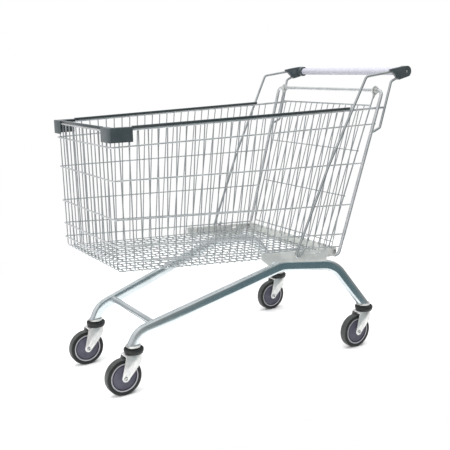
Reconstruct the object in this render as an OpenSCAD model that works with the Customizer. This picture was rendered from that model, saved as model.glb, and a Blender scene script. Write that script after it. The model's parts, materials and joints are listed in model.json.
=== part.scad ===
// Rigid nesting shopping trolley: wire basket on two bent side tubes, four swivel
// casters, a push handle and a rear gate that swings up when trolleys are nested.
// Millimetres. +Z is up, -Y is the nose, +X is the trolley's left side.
// The origin is on the floor, under the middle of the whole trolley.

/* [Wheels and casters] */
// Diameter of each wheel
wheel_d = 125; // [118:1:128]
// Width of the tyre
wheel_w = 30; // [24:1:32]
// Distance from the swivel axis to the wheel axle
caster_trail = 42; // [40:1:44]
// Distance between the front and rear swivel axes
wheelbase = 907; // [900:1:915]
// Distance between the two front swivel axes
front_track = 311; // [306:1:316]
// Distance between the two rear swivel axes
rear_track = 535; // [530:1:540]

/* [Side tubes] */
// Tall side of the flat-oval tube
tube_h = 40; // [38:1:42]
// Narrow side of the flat-oval tube
tube_w = 22; // [20:1:24]
// Wall of the flat-oval tube
tube_wall = 2; // [1.5:0.5:3]

/* [Basket] */
// Diameter of the upright and floor wires
wire_d = 3.8; // [3:0.1:4]
// Diameter of the wires that run round the basket
band_d = 5.2; // [4.4:0.1:5.4]
// Diameter of the rod round the basket's mouth
rim_d = 8; // [7:0.5:8]
// Number of upright wires in each side
side_wires = 29; // [15:1:31]
// Number of upright wires in the front
front_wires = 15; // [9:1:17]

/* [Gate] */
// Number of upright wires in the gate, its two side rods not counted
gate_wires = 15; // [9:1:17]
// Lean of the closed gate from the vertical
gate_lean = 17.85; // [17.5:0.05:18.2]

/* [Handle] */
// Outer diameter of the plastic grip
grip_d = 27; // [25:0.5:29]
// Diameter of the four stay rods
stay_d = 9; // [8:0.5:9]
// Diameter of the rear hoop's rod
hoop_d = 12; // [11:0.5:12]

/* [Hidden] */
$fn = 48;

ZINC = [0.76, 0.79, 0.79];
PLASTIC = [0.22, 0.27, 0.28];
STRIP = [0.13, 0.17, 0.18];
GRIP = [0.86, 0.86, 0.91];
TYRE = [0.20, 0.20, 0.21];
HUB = [0.48, 0.47, 0.55];

gap = 0.05;             // between pieces that touch or run in each other
weld = 0.4;             // how far one piece of a welded part reaches into the next
eps = 1;                // overshoot of a cutting shape
hair = 0.04;            // how much thinner a bend is than the straights beside it

wire_r = wire_d / 2;
band_r = band_d / 2;
rim_r = rim_d / 2;
stay_r = stay_d / 2;
hoop_r = hoop_d / 2;
wheel_r = wheel_d / 2;

// The handle's rear end and the front wheels are equally far from the origin.
cap_r = 19.5;
rear_y = 425;
front_y = rear_y - wheelbase;
half_length = -front_y + caster_trail + wheel_r;
handle_y = half_length - cap_r;
handle_z = 1014;

front_left = [front_track / 2, front_y];
front_right = [-front_track / 2, front_y];
rear_left = [rear_track / 2, rear_y];
rear_right = [-rear_track / 2, rear_y];
CASTERS = [front_left, front_right, rear_left, rear_right];

// Caster stack, heights above the floor
leg_t = 3;
fork_gap = 39;
fork_outer = fork_gap + 2 * leg_t;
plate_top = 136;
plate_bottom = plate_top - leg_t;
ring_top = 154;
socket_z = ring_top + 0.4;
tube_end_z = 162;
king_r = 6;
axle_r = 4;
hub_r = 49;
bush_r = 8;

// Line of the rim rod: front corner and rear end of the left side
rim_front = [223, -558.6, 865];
rim_rear = [289, 484, 890];
rim_bend = 14;
function rim_at(y) = rim_front + (rim_rear - rim_front) * (y - rim_front[1]) / (rim_rear[1] - rim_front[1]);

// Left side of the basket as a ruled surface through the centres of its uprights
side_inset = rim_r + wire_r + gap;
strip_drop = 1.6;
side_tf = [rim_front[0] - side_inset, rim_front[1] + side_inset, rim_front[2] - strip_drop];
side_tr = [281.5, 430, rim_at(430)[2] - strip_drop];
side_bf = [212, -548, 429];
side_br = [265.8, 278, 375];
function side_at(s, t) = (1 - s) * ((1 - t) * side_tf + t * side_bf) + s * ((1 - t) * side_tr + t * side_br);
first_top = 0.023;      // first upright, as a share of the top edge
last_top = 0.935;
first_low = 0.033;
last_low = 0.975;
function share(i, n) = i / (n - 1);
function mix(a, b, k) = a + (b - a) * k;
function upright_top(i) = side_at(mix(first_top, last_top, share(i, side_wires)), 0);
function upright_low(i) = side_at(mix(first_low, last_low, share(i, side_wires)), 1);

// Heights of the band wires at the front corner and at the rear hoop
band_front_z = [816, 716, 597, 516, 467];
band_rear_z = [833, 697, 552, 447, 403];
band_out = wire_r + band_r + gap;
band_extra = [26, 6, 6, 6, 6];
band_bend = 8;
function t_front(k) = (side_tf[2] - band_front_z[k]) / (side_tf[2] - side_bf[2]);
function t_rear(k) = (side_tr[2] - band_rear_z[k]) / (side_tr[2] - side_br[2]);
function band_start(k) = side_at(0, t_front(k)) + [band_out, -band_out, 0];
function band_stop(k) = side_at(1, t_rear(k)) + [band_out, 0, 0];
function band_dir(k) = unit(band_stop(k) - band_start(k));
function band_reach(k) = band_bend * tan(turn_angle([1, 0, 0], band_dir(k)) / 2) + gap;

// Rear hoop, rear gate and handle
hinge_y = 454;
hinge_z = 950;
hoop_top = [300.4, hinge_y, hinge_z];
hoop_low = [279.8, 283, 377];
hoop_foot = [279, 262, 374];
gate_top_h = 55.7;
gate_low_h = 586;
gate_band_h = [221.7, 389.8, 561];
gate_side_r = 2.6;
gate_top_r = 3;
gate_top_half = 263;
gate_low_half = 235;
function gate_half(h) = mix(gate_top_half, gate_low_half, (h - gate_top_h) / (gate_low_h - gate_top_h));
hinge_plate_t = 3;
hinge_plate_x = 262.5;
hinge_tail_h = 30;

cap_inner_x = 278;
cap_wing_x = 295.5;
cap_outer_x = 308;
cap_bore_x = 302.5;
handle_r = 11;
screw_r = 2.5;

// Bracket plane: distance of its inner face from the middle, at two stations
bracket_t = 3;
bracket_y0 = -36;
bracket_y1 = 300;
bracket_x0 = 249.5;
bracket_x1 = 271.3;
function bracket_x(y) = mix(bracket_x0, bracket_x1, (y - bracket_y0) / (bracket_y1 - bracket_y0));
bolt_y = 268;
bolt_z = 389;
bolt_r = 4;

// Side tube path, in its own upright plane: distance from the front swivel axis, height
tube_dx = (rear_track - front_track) / 2;
tube_run = norm([tube_dx, wheelbase]);
tube_turn = atan2(tube_dx, wheelbase);
tube_path = [[-9, 150], [20.5, 203], [558, 356], [777, 330], [tube_run + 5, 150]];
tube_bend = [60, 100, 110];
function tube_x(y) = front_track / 2 + tube_dx * (y - front_y) / wheelbase;
top_slope = atan2(tube_path[2][1] - tube_path[3][1], tube_path[3][0] - tube_path[2][0]);

function unit(v) = v / norm(v);
function turn_angle(u, w) = acos(u * w);
function setback(p, k, bends) =
    (k == 0 || k == len(p) - 1) ? 0
    : bends[k - 1] * tan(turn_angle(unit(p[k] - p[k - 1]), unit(p[k + 1] - p[k])) / 2);

// Turns local X, Y and Z to the three given unit vectors and moves to a point
module place(ex, ey, ez, at) {
    multmatrix([
        [ex[0], ey[0], ez[0], at[0]],
        [ex[1], ey[1], ez[1], at[1]],
        [ex[2], ey[2], ez[2], at[2]],
        [0, 0, 0, 1]
    ]) children();
}

module rod(a, b, r) {
    d = unit(b - a);
    translate(a) rotate([0, acos(d[2]), atan2(d[1], d[0])]) cylinder(r = r, h = norm(b - a));
}

// One bend of a rod: from direction u to direction w round the corner point.
// It is a hair thinner than the straights, which reach a little way over its ends.
module rod_bend(corner, u, w, bend_r, r) {
    angle = turn_angle(u, w);
    inward = unit(w - (w * u) * u);
    start = corner - u * bend_r * tan(angle / 2);
    place(-inward, u, cross(-inward, u), start + inward * bend_r)
        rotate_extrude(angle = angle) translate([bend_r, 0]) circle(r = r - hair);
}

function reach(p, k) = (k == 0 || k == len(p) - 1) ? 0 : weld;

module bent_rod(p, bends, r) {
    union() {
        for (k = [0 : len(p) - 2]) {
            u = unit(p[k + 1] - p[k]);
            rod(p[k] + u * (setback(p, k, bends) - reach(p, k)),
                p[k + 1] - u * (setback(p, k + 1, bends) - reach(p, k + 1)), r);
        }
        for (k = [1 : len(p) - 2])
            rod_bend(p[k], unit(p[k] - p[k - 1]), unit(p[k + 1] - p[k]), bends[k - 1], r);
    }
}

module both_sides() {
    children();
    mirror([1, 0, 0]) children();
}

module oval(w, h) {
    square([w, h - w], center = true);
    for (side = [-1, 1]) translate([0, side * (h - w) / 2]) circle(d = w);
}

// The side tube's path swept with a solid flat oval, narrow side along X
module tube_sweep(w, h) {
    pts = [for (q = tube_path) [0, q[0], q[1]]];
    across = [1, 0, 0];
    for (k = [0 : len(pts) - 2]) {
        u = unit(pts[k + 1] - pts[k]);
        a = pts[k] + u * (setback(pts, k, tube_bend) - reach(pts, k));
        b = pts[k + 1] - u * (setback(pts, k + 1, tube_bend) - reach(pts, k + 1));
        place(across, cross(u, across), u, a) linear_extrude(height = norm(b - a)) oval(w, h);
    }
    for (k = [1 : len(pts) - 2]) {
        u = unit(pts[k] - pts[k - 1]);
        v = unit(pts[k + 1] - pts[k]);
        inward = unit(v - (v * u) * u);
        bend_r = tube_bend[k - 1];
        place(-inward, u, cross(-inward, u), pts[k] - u * setback(pts, k, tube_bend) + inward * bend_r)
            rotate_extrude(angle = turn_angle(u, v)) translate([bend_r, 0]) rotate(90)
                oval(w - 2 * hair, h - 2 * hair);
    }
}

module side_tube() {
    translate([front_left[0], front_left[1], 0]) rotate([0, 0, -tube_turn])
    difference() {
        tube_sweep(tube_w, tube_h);
        tube_sweep(tube_w - 2 * tube_wall, tube_h - 2 * tube_wall);
        translate([-tube_h, -tube_h, 0]) cube([2 * tube_h, tube_run + 2 * tube_h, tube_end_z]);
    }
}

module chassis_tube_left() { color(ZINC) side_tube(); }
module chassis_tube_right() { color(ZINC) mirror([1, 0, 0]) side_tube(); }

// Round tube between the two side tubes, mitred to their inner faces
module front_cross_tube() {
    cross_r = 11;
    cross_wall = 1.5;
    cross_y = -407;
    cross_z = 221;
    block = 80;
    face_x = tube_x(cross_y) - (tube_w / 2 + gap) / cos(tube_turn);
    color(ZINC) difference() {
        translate([-face_x - block / 2, cross_y, cross_z]) rotate([0, 90, 0])
            cylinder(r = cross_r, h = 2 * face_x + block);
        translate([-face_x - block, cross_y, cross_z]) rotate([0, 90, 0])
            cylinder(r = cross_r - cross_wall, h = 2 * face_x + 2 * block);
        both_sides() translate([face_x, cross_y, cross_z]) rotate([0, 0, -tube_turn])
            translate([0, -block / 2, -block / 2]) cube([block, block, block]);
    }
}

// Pressed plate between the brackets, with two slots and an upturned lip that stops the gate
module rear_cross_plate() {
    half = 280;
    plate_t = 2.5;
    y0 = 238;
    lip_y = 279.3;
    z0 = 370;
    lip_h = 30;
    slot_l = 66;
    slot_w = 10;
    slot_x = 150;
    slot_y = 258;
    color(ZINC) difference() {
        union() {
            translate([-half, y0, z0]) cube([2 * half, lip_y + plate_t - y0, plate_t]);
            translate([-half, lip_y, z0]) cube([2 * half, plate_t, lip_h]);
        }
        for (side = [-1, 1]) translate([side * slot_x, slot_y, z0 - eps])
            linear_extrude(height = plate_t + 2 * eps) rotate(90) oval(slot_w, slot_l);
        both_sides() on_bracket_plane() translate([-gap, y0 - eps, z0 - eps]) cube([half, half, half]);
    }
}

// Moves a drawing made at the middle of the trolley out to the left bracket's plane
module on_bracket_plane() {
    translate([bracket_x0, bracket_y0, 0])
        rotate([0, 0, -atan2(bracket_x1 - bracket_x0, bracket_y1 - bracket_y0)])
            translate([0, -bracket_y0, 0]) children();
}

// Plate outside the basket's lower edge, with a foot flange on the side tube
module side_bracket() {
    outline = [[-36, 398], [-36, 422], [10, 417], [277.8, 396.5], [273.2, 381],
               [237, 379], [237, 357], [10, 384], [-8, 374]];
    foot_y0 = 80;
    foot_y1 = 236.5;
    foot_z = tube_path[2][1] + tube_h / 2 / cos(top_slope) + gap;
    foot_ref = front_y + tube_path[2][0] * cos(tube_turn);
    slot_y = 193.5;
    slot_z = 390;
    slit_y = 39;
    slit_w = 3;
    slit_low_z = 394;
    color(ZINC) difference() {
        union() {
            on_bracket_plane() rotate([90, 0, 90]) linear_extrude(height = bracket_t) polygon(outline);
            translate([0, foot_ref, foot_z]) rotate([-top_slope, 0, 0]) linear_extrude(height = bracket_t)
                polygon([for (q = [[-1, foot_y0], [1, foot_y0], [1, foot_y1], [-1, foot_y1]])
                    [q[0] < 0 ? tube_x(q[1]) - tube_w / 2 : bracket_x(q[1]) + weld,
                     (q[1] - foot_ref) / cos(top_slope)]]);
        }
        translate([bracket_x(bolt_y) - 10, bolt_y, bolt_z]) rotate([0, 90, 0]) cylinder(r = bolt_r + gap, h = 20);
        translate([bracket_x(slot_y) - 10, slot_y, slot_z]) rotate([90, 0, 90])
            linear_extrude(height = 20) rotate(90) oval(5, 36);
        translate([bracket_x(slit_y) - 10, slit_y - slit_w / 2, slit_low_z]) cube([20, slit_w, 40]);
    }
}

module side_bracket_left() { side_bracket(); }
module side_bracket_right() { mirror([1, 0, 0]) side_bracket(); }

// Bolt and nut at the rear end of each bracket
module bracket_bolts() {
    head_r = 6.5;
    head_h = 5;
    nut_h = 5;
    inner = bracket_x(bolt_y) - weld;
    outer = bracket_x(bolt_y) + bracket_t + weld;
    color(ZINC) both_sides() translate([0, bolt_y, bolt_z]) {
        translate([inner - nut_h - 2, 0, 0]) rotate([0, 90, 0]) cylinder(r = bolt_r, h = outer - inner + nut_h + 2 + weld);
        translate([outer, 0, 0]) rotate([0, 90, 0]) cylinder(r = head_r, h = head_h, $fn = 6);
        difference() {
            translate([inner - nut_h, 0, 0]) rotate([0, 90, 0]) cylinder(r = head_r, h = nut_h, $fn = 6);
            translate([inner - nut_h - eps, 0, 0]) rotate([0, 90, 0])
                cylinder(r = bolt_r + gap, h = nut_h + 2 * eps);
        }
    }
}

// Uprights and band wires of the left side
module basket_side() {
    for (i = [0 : side_wires - 1])
        rod(upright_top(i), upright_low(i) + [0, 0, wire_r + gap], wire_r);
    for (k = [0 : len(band_front_z) - 1])
        rod(band_start(k) + band_dir(k) * band_reach(k), band_stop(k) + band_dir(k) * band_extra[k], band_r);
}

module basket_side_left() { color(ZINC) basket_side(); }
module basket_side_right() { color(ZINC) mirror([1, 0, 0]) basket_side(); }

floor_front_x = 207;
floor_rear_x = 255;
floor_rear_y = 268;
function floor_z(y) = mix(side_bf[2], side_br[2], (y - side_bf[1]) / (side_br[1] - side_bf[1]));
function lengthwise_z(y) = floor_z(y) + 2 * wire_r + gap;

module basket_front() {
    low_z = lengthwise_z(side_bf[1]) + wire_r + gap;
    color(ZINC) {
        for (i = [0 : front_wires - 1]) {
            x = mix(-floor_front_x, floor_front_x, share(i, front_wires));
            rod([x, side_tf[1], side_tf[2]], [x, side_bf[1], low_z], wire_r);
        }
        for (k = [0 : len(band_front_z) - 1]) {
            p = band_start(k);
            half = p[0] - band_reach(k);
            rod([-half, p[1], p[2]], [half, p[1], p[2]], band_r);
        }
    }
}

// Bends that take each band wire round the two front corners
module basket_corners() {
    color(ZINC) both_sides() for (k = [0 : len(band_front_z) - 1])
        rod_bend(band_start(k), [1, 0, 0], band_dir(k), band_bend, band_r);
}

module basket_floor() {
    color(ZINC) {
        for (i = [0 : side_wires - 1]) {
            p = upright_low(i);
            rod([-p[0] - wire_r, p[1], p[2]], [p[0] + wire_r, p[1], p[2]], wire_r);
        }
        for (i = [0 : front_wires - 1]) {
            k = 2 * share(i, front_wires) - 1;
            rod([k * floor_front_x, side_bf[1] - wire_r, lengthwise_z(side_bf[1] - wire_r)],
                [k * floor_rear_x, floor_rear_y, lengthwise_z(floor_rear_y)], wire_r);
        }
    }
}

module rim_rod() {
    flip = [-1, 1, 1];
    right_front = [-rim_front[0], rim_front[1], rim_front[2]];
    right_rear = [-rim_rear[0], rim_rear[1], rim_rear[2]];
    color(ZINC) bent_rod([rim_rear, rim_front, right_front, right_rear], [rim_bend, rim_bend], rim_r);
}

// Plastic strip that sits on the rim rod like a saddle
module strip_section() {
    half = 5;
    low = 3.5;
    top = 11;
    difference() {
        translate([-half, low]) square([2 * half, top - low]);
        circle(r = rim_r + gap);
    }
}

module strip_run(a, b) {
    u = unit(b - a);
    side = unit(cross(u, [0, 0, 1]));
    place(side, cross(u, side) * -1, u * -1, b) linear_extrude(height = norm(b - a)) strip_section();
}

strip_y0 = -488.5;
strip_y1 = 321;
bumper_x = 168;
module rim_strip_left() { color(STRIP) strip_run(rim_at(strip_y0), rim_at(strip_y1)); }
module rim_strip_right() { color(STRIP) mirror([1, 0, 0]) strip_run(rim_at(strip_y0), rim_at(strip_y1)); }
module rim_strip_front() {
    end = [bumper_x - 1.5, rim_front[1], rim_front[2]];
    color(STRIP) strip_run([-end[0], end[1], end[2]], end);
}

// Corner buffer: an outer wall and a top flange over the bend of the rim rod
bumper_wall = 2.6;
bumper_reach = 6.9;     // from the rim rod's centre line to the outer face
bumper_depth = 20.8;
bumper_rear_y = -490;
bumper_round = 7;
function bumper_side_x(inward, y) = rim_at(y)[0] + bumper_reach - inward;

module bumper() {
    top = rim_front[2] + 9.5;
    low = rim_front[2] - 34.5;
    color(PLASTIC) difference() {
        translate([0, 0, low]) linear_extrude(height = top - low) bumper_plan(0, bumper_depth, 0);
        translate([0, 0, low - eps]) linear_extrude(height = top - low - bumper_wall + eps)
            bumper_plan(bumper_wall, bumper_depth + eps, eps);
    }
}

// Plan of the buffer between two distances in from its outer face
module bumper_plan(outer, inner, over) {
    front = rim_front[1] - bumper_reach + outer;
    back = rim_front[1] - bumper_reach + inner;
    rear = bumper_rear_y + over;
    far = rear + 50;
    intersection() {
        offset(r = bumper_round) offset(delta = -bumper_round)
            polygon([[bumper_x - 50, front], [bumper_side_x(outer, front), front],
                     [bumper_side_x(outer, far), far], [bumper_x - 50, far]]);
        polygon([[bumper_x - over, front - eps], [bumper_side_x(-eps, front), front - eps],
                 [bumper_side_x(-eps, rear), rear], [bumper_side_x(inner, rear), rear],
                 [bumper_side_x(inner, back), back], [bumper_x - over, back]]);
    }
}

module bumper_left() { bumper(); }
module bumper_right() { mirror([1, 0, 0]) bumper(); }

module rear_hoop() {
    left = [hoop_foot, hoop_low, hoop_top];
    right = [for (k = [2 : -1 : 0]) [-left[k][0], left[k][1], left[k][2]]];
    color(ZINC) bent_rod(concat(left, right), [14, 18, 18, 14], hoop_r);
}

// Caps on the hoop's top bar that keep the gate's hinge plates in place
module hinge_caps() {
    cap_x = hinge_plate_x + hinge_plate_t + 0.3;
    cap_l = 14;
    barrel_r = 11;
    color(ZINC) both_sides() translate([cap_x, hinge_y, hinge_z]) rotate([0, 90, 0]) difference() {
        cylinder(r = barrel_r, h = cap_l);
        translate([0, 0, -eps]) cylinder(r = hoop_r + gap, h = cap_l + 2 * eps);
    }
}

front_stay_path = [[302.2, 518, 1017], [298, 379, 1000], [284.2, 226, 700], [268.2, 77.5, 352.5], [271.5, 136, 420]];
front_stay_bend = [16, 100, 8.6];
rear_stay_path = [[302.2, 545, 1000.5], [300.6, 495, 981], [295.2, 452, 820], [293.6, 420, 806]];
rear_stay_bend = [12, 10];

module front_stay_left() { color(ZINC) bent_rod(front_stay_path, front_stay_bend, stay_r); }
module front_stay_right() { color(ZINC) mirror([1, 0, 0]) bent_rod(front_stay_path, front_stay_bend, stay_r); }
module rear_stay_left() { color(ZINC) bent_rod(rear_stay_path, rear_stay_bend, stay_r); }
module rear_stay_right() { color(ZINC) mirror([1, 0, 0]) bent_rod(rear_stay_path, rear_stay_bend, stay_r); }

module on_handle_axis(x) {
    translate([x, handle_y, handle_z]) rotate([0, 90, 0]) children();
}

module tube_between(x0, x1, outer, inner) {
    on_handle_axis(x0) difference() {
        cylinder(r = outer, h = x1 - x0);
        translate([0, 0, -eps]) cylinder(r = inner, h = x1 - x0 + 2 * eps);
    }
}

handle_wall = 1.5;
handle_end = cap_bore_x - 0.5;
plug_x = 287;
screw_head_x = 305.6;
screw_tip_x = 292;
module handle_tube() { color(ZINC) tube_between(-handle_end, handle_end, handle_r, handle_r - handle_wall); }
module handle_grip() {
    grip_end = cap_inner_x - 0.5;
    color(GRIP) tube_between(-grip_end, grip_end, grip_d / 2, handle_r + gap);
}
module handle_plugs() {
    color(PLASTIC) both_sides() tube_between(plug_x, handle_end, handle_r - handle_wall - gap, screw_r + gap);
}
module handle_screws() {
    head_r = 5.5;
    color(ZINC) both_sides() {
        on_handle_axis(screw_tip_x) cylinder(r = screw_r, h = screw_head_x - screw_tip_x + weld);
        on_handle_axis(screw_head_x) cylinder(r = head_r, h = cap_outer_x - screw_head_x);
    }
}

// Moulded end cap: a collar round the grip's end and a thinner wing, cut on a slant
// where the two stays enter
module handle_cap() {
    recess_r = 6;
    slant_top = [484.5, 1022];
    slant_low = [528, 985.5];
    crown = [handle_y - 2.5, handle_z + cap_r - 0.3];
    chin = [handle_y + 9.5, handle_z - cap_r + 2.7];
    color(PLASTIC) difference() {
        union() {
            on_handle_axis(cap_inner_x) cylinder(r = cap_r, h = cap_outer_x - cap_inner_x);
            translate([cap_wing_x, 0, 0]) rotate([90, 0, 90]) linear_extrude(height = cap_outer_x - cap_wing_x)
                polygon([slant_top, crown, chin, slant_low]);
        }
        on_handle_axis(cap_inner_x - eps) cylinder(r = handle_r + gap, h = cap_bore_x - cap_inner_x + eps);
        on_handle_axis(cap_inner_x) cylinder(r = screw_r + gap, h = cap_outer_x - cap_inner_x + eps);
        on_handle_axis(screw_head_x - gap) cylinder(r = recess_r, h = cap_outer_x - screw_head_x + eps);
        rod(front_stay_path[1], front_stay_path[0], stay_r + gap);
        rod(rear_stay_path[1], rear_stay_path[0], stay_r + gap);
    }
}

module handle_cap_left() { handle_cap(); }
module handle_cap_right() { mirror([1, 0, 0]) handle_cap(); }

module at_caster(c) { translate([c[0], c[1], 0]) children(); }
module at_wheel(c) { translate([c[0], c[1] - caster_trail, wheel_r]) rotate([0, 90, 0]) children(); }

module bored_disc(r, bore, z0, z1) {
    difference() {
        translate([0, 0, z0]) cylinder(r = r, h = z1 - z0);
        translate([0, 0, z0 - eps]) cylinder(r = bore, h = z1 - z0 + 2 * eps);
    }
}

module caster_sockets() {
    socket_r = 23;
    color(ZINC) for (c = CASTERS) at_caster(c) bored_disc(socket_r, king_r + gap, socket_z, tube_end_z);
}

nut_top = plate_bottom - 0.4;
nut_h = 9;
module king_bolts() {
    head_r = 8.5;
    head_h = 6;
    color(ZINC) for (c = CASTERS) at_caster(c) {
        translate([0, 0, nut_top - nut_h - 1]) cylinder(r = king_r, h = tube_end_z - nut_top + nut_h + 1 + gap + weld);
        translate([0, 0, tube_end_z + gap]) cylinder(r = head_r, h = head_h);
    }
}

module king_nuts() {
    nut_r = 9.2;
    color(ZINC) for (c = CASTERS) at_caster(c) difference() {
        translate([0, 0, nut_top - nut_h]) cylinder(r = nut_r, h = nut_h, $fn = 6);
        translate([0, 0, nut_top - nut_h - eps]) cylinder(r = king_r + gap, h = nut_h + 2 * eps);
    }
}

// Point where a line from p touches a circle, on the given side
function tangent_point(centre, r, p, side) =
    let (d = p - centre, a = atan2(d[1], d[0]) + side * acos(r / norm(d)))
    centre + r * [cos(a), sin(a)];

// Block that is flat in front and round at the back, open space or metal of the fork
module fork_block(half, back, z0, z1) {
    front = -60;
    middle = back - half;
    translate([-half, front, z0]) cube([2 * half, middle - front + weld, z1 - z0]);
    translate([0, middle, z0]) cylinder(r = half - hair, h = z1 - z0);
}

// Pressed fork: a round-backed cup over the wheel, trimmed to two tapered legs
module fork(c) {
    back = 26;
    low_z = 40;
    shoulder = [back + eps, 120];
    front_top = [-36, plate_top];
    eye_r = 12.5;
    eye = [-caster_trail, wheel_r];
    front_low = tangent_point(eye, eye_r - hair, front_top, 1);
    over = front_low + (front_top - front_low) * 1.05;
    color(ZINC) at_caster(c) difference() {
        intersection() {
            difference() {
                fork_block(fork_outer / 2, back, low_z, plate_top);
                fork_block(fork_gap / 2, back - leg_t, low_z - eps, plate_bottom);
            }
            union() {
                translate([-fork_outer, 0, 0]) rotate([90, 0, 90]) linear_extrude(height = 2 * fork_outer)
                    polygon([over, [shoulder[0], over[1]], shoulder,
                             tangent_point(eye, eye_r - hair, shoulder, -1), eye, front_low]);
                translate([-fork_outer, eye[0], eye[1]]) rotate([0, 90, 0]) cylinder(r = eye_r, h = 2 * fork_outer);
            }
        }
        translate([0, 0, plate_bottom - eps]) cylinder(r = king_r + gap, h = leg_t + 2 * eps);
        translate([-fork_outer, -caster_trail, wheel_r]) rotate([0, 90, 0])
            cylinder(r = axle_r + gap, h = 2 * fork_outer);
    }
}

module dust_ring(c) {
    ring_r = 33;
    waist_r = 31;
    color(STRIP) at_caster(c) difference() {
        union() {
            translate([0, 0, plate_top + gap]) cylinder(r = waist_r, h = ring_top - plate_top - gap);
            translate([0, 0, ring_top - 10]) cylinder(r = ring_r, h = 9);
        }
        translate([0, 0, plate_top - eps]) cylinder(r = king_r + gap, h = ring_top - plate_top + 2 * eps);
    }
}

// Axle bolt with its head outboard of one leg and its nut outboard of the other
module axle(c) {
    side = fork_outer / 2 + gap;
    head_r = 6.5;
    head_h = 4.5;
    nut_h = 5.5;
    color(ZINC) at_wheel(c) {
        translate([0, 0, -side - nut_h - 1]) cylinder(r = axle_r, h = 2 * side + nut_h + 1 + weld);
        translate([0, 0, side]) cylinder(r = head_r, h = head_h);
        difference() {
            translate([0, 0, -side - nut_h]) cylinder(r = head_r, h = nut_h, $fn = 6);
            translate([0, 0, -side - nut_h - eps]) cylinder(r = axle_r + gap, h = nut_h + 2 * eps);
        }
    }
}

// Plain bush that turns on the axle bolt
module bush(c) {
    half = fork_gap / 2 - 0.2;
    color(ZINC) at_wheel(c) bored_disc(bush_r, axle_r + gap, -half, half);
}

module hub(c) {
    half = 12.5;
    boss_r = 14;
    boss_half = 17.5;
    groove_in = 40.5;
    groove_out = 44.5;
    groove_depth = 2;
    color(HUB) at_wheel(c) rotate_extrude() difference() {
        union() {
            translate([bush_r + gap, -half]) square([hub_r - bush_r - gap, 2 * half]);
            translate([bush_r + gap, -boss_half]) square([boss_r - bush_r, 2 * boss_half]);
        }
        for (y = [-half - eps, half - groove_depth])
            translate([groove_in, y]) square([groove_out - groove_in, groove_depth + eps]);
    }
}

module tyre(c) {
    round_r = 7;
    half = wheel_w / 2;
    color(TYRE) at_wheel(c) rotate_extrude() {
        translate([hub_r + gap, -half]) square([wheel_r - round_r - hub_r - gap, wheel_w]);
        translate([hub_r + gap, -half + round_r]) square([wheel_r - hub_r - gap, wheel_w - 2 * round_r]);
        for (side = [-1, 1]) translate([wheel_r - round_r, side * (half - round_r)]) circle(r = round_r);
    }
}

// Gate parts are drawn hanging straight down from the hinge, then leaned forward
module on_gate() { translate([0, hinge_y, hinge_z]) rotate([-gate_lean, 0, 0]) children(); }

module gate_grille() {
    top_x = gate_half(gate_top_h) - gate_side_r - gap;
    step = 2 / (gate_wires + 1);
    color(ZINC) on_gate() {
        rod([-top_x, 0, -gate_top_h], [top_x, 0, -gate_top_h], gate_top_r);
        for (i = [1 : gate_wires]) {
            k = i * step - 1;
            rod([k * gate_half(gate_top_h), 0, -gate_top_h - gate_top_r - 0.15],
                [k * gate_half(gate_low_h), 0, -gate_low_h], wire_r);
        }
        for (h = gate_band_h)
            rod([-gate_half(h) - gate_side_r, 2 * wire_r + gap, -h],
                [gate_half(h) + gate_side_r, 2 * wire_r + gap, -h], wire_r);
    }
}

module gate_side_rods() {
    back = wire_r - gate_side_r;
    color(ZINC) on_gate() both_sides()
        rod([gate_half(hinge_tail_h), back, -hinge_tail_h - gap], [gate_half(gate_low_h), back, -gate_low_h], gate_side_r);
}

module gate_hinge_plates() {
    eye_r = 16;
    tail_w = 9;
    color(ZINC) on_gate() both_sides() translate([hinge_plate_x, 0, 0]) rotate([0, 90, 0])
        difference() {
            union() {
                cylinder(r = eye_r, h = hinge_plate_t);
                translate([0, -tail_w / 2, 0]) cube([hinge_tail_h, tail_w, hinge_plate_t]);
            }
            translate([0, 0, -eps]) cylinder(r = hoop_r + gap, h = hinge_plate_t + 2 * eps);
        }
}

chassis_tube_left();
chassis_tube_right();
front_cross_tube();
rear_cross_plate();
side_bracket_left();
side_bracket_right();
bracket_bolts();
basket_side_left();
basket_side_right();
basket_front();
basket_corners();
basket_floor();
rim_rod();
rim_strip_left();
rim_strip_right();
rim_strip_front();
bumper_left();
bumper_right();
rear_hoop();
hinge_caps();
front_stay_left();
front_stay_right();
rear_stay_left();
rear_stay_right();
handle_tube();
handle_grip();
handle_plugs();
handle_screws();
handle_cap_left();
handle_cap_right();
caster_sockets();
king_bolts();
king_nuts();
gate_grille();
gate_side_rods();
gate_hinge_plates();
fork(front_left);  // fork_front_left
fork(front_right);  // fork_front_right
fork(rear_left);  // fork_rear_left
fork(rear_right);  // fork_rear_right
dust_ring(front_left);  // dust_ring_front_left
dust_ring(front_right);  // dust_ring_front_right
dust_ring(rear_left);  // dust_ring_rear_left
dust_ring(rear_right);  // dust_ring_rear_right
axle(front_left);  // axle_front_left
axle(front_right);  // axle_front_right
axle(rear_left);  // axle_rear_left
axle(rear_right);  // axle_rear_right
bush(front_left);  // bush_front_left
bush(front_right);  // bush_front_right
bush(rear_left);  // bush_rear_left
bush(rear_right);  // bush_rear_right
hub(front_left);  // hub_front_left
hub(front_right);  // hub_front_right
hub(rear_left);  // hub_rear_left
hub(rear_right);  // hub_rear_right
tyre(front_left);  // tyre_front_left
tyre(front_right);  // tyre_front_right
tyre(rear_left);  // tyre_rear_left
tyre(rear_right);  // tyre_rear_right
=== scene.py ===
"""Looks of a nesting supermarket trolley: bright zinc wire and tube, dark moulded
plastic, grey castor wheels and a pale grip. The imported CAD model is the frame.

Shapes are drawn in millimetres in the CAD frame and scaled to metres as each piece
is finished. +Z is up, -Y is the nose, +X is the trolley's left side.
"""

import json
import math

import bmesh
import bpy
from mathutils import Matrix, Vector


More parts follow.
